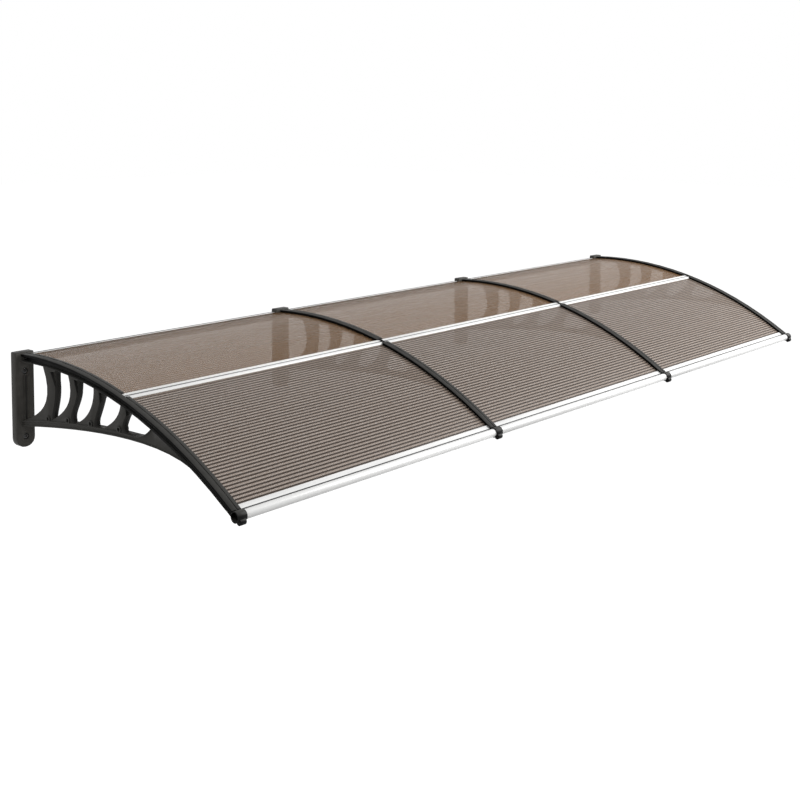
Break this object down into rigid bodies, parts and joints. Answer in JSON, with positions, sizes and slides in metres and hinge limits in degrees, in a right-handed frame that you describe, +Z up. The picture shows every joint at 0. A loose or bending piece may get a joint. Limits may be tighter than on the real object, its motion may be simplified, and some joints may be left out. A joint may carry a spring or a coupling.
{
  "type": "polycarbonate door canopy",
  "caption": "Curved door canopy with twin-wall sheets in light metal bars, held by moulded scroll brackets on wall plates.",
  "frame": {"origin": "centre of the middle rear bar's back, on the wall", "axes": "+X along the wall, +Y into the wall, +Z up"},
  "size_m": [3.059, 0.9748, 0.2861],
  "materials": {
    "black_plastic": "moulded, satin",
    "strip_plastic": "moulded, satin",
    "polycarbonate": "clear brown, smooth",
    "aluminium": "satin, pale",
    "screw_steel": "black, satin"
  },
  "bodies": {
    "root": {"bracket_1": "black_plastic", "bracket_2": "black_plastic", "bracket_3": "black_plastic", "bracket_4": "black_plastic", "cover_strip_1_left": "strip_plastic", "cover_strip_1_right_rear": "strip_plastic", "cover_strip_1_right_front": "strip_plastic", "cover_strip_2_left_rear": "strip_plastic", "cover_strip_2_left_front": "strip_plastic", "cover_strip_2_right_rear": "strip_plastic", "cover_strip_2_right_front": "strip_plastic", "cover_strip_3_left_rear": "strip_plastic", "cover_strip_3_left_front": "strip_plastic", "cover_strip_3_right_rear": "strip_plastic", "cover_strip_3_right_front": "strip_plastic", "cover_strip_4_left_rear": "strip_plastic", "cover_strip_4_left_front": "strip_plastic", "cover_strip_4_right": "strip_plastic", "arm_screw_1": "screw_steel", "arm_screw_4": "screw_steel", "wall_screw_upper_1": "screw_steel", "wall_screw_lower_1": "screw_steel", "wall_screw_upper_2": "screw_steel", "wall_screw_lower_2": "screw_steel", "wall_screw_upper_3": "screw_steel", "wall_screw_lower_3": "screw_steel", "wall_screw_upper_4": "screw_steel", "wall_screw_lower_4": "screw_steel", "roof_sheet_rear_1": "polycarbonate", "roof_sheet_front_1": "polycarbonate", "mid_bar_1": "aluminium", "front_bar_1": "aluminium", "rear_bar_1": "aluminium", "roof_sheet_rear_2": "polycarbonate", "roof_sheet_front_2": "polycarbonate", "mid_bar_2": "aluminium", "front_bar_2": "aluminium", "rear_bar_2": "aluminium", "roof_sheet_rear_3": "polycarbonate", "roof_sheet_front_3": "polycarbonate", "mid_bar_3": "aluminium", "front_bar_3": "aluminium", "rear_bar_3": "aluminium"}
  },
  "joints": []
}
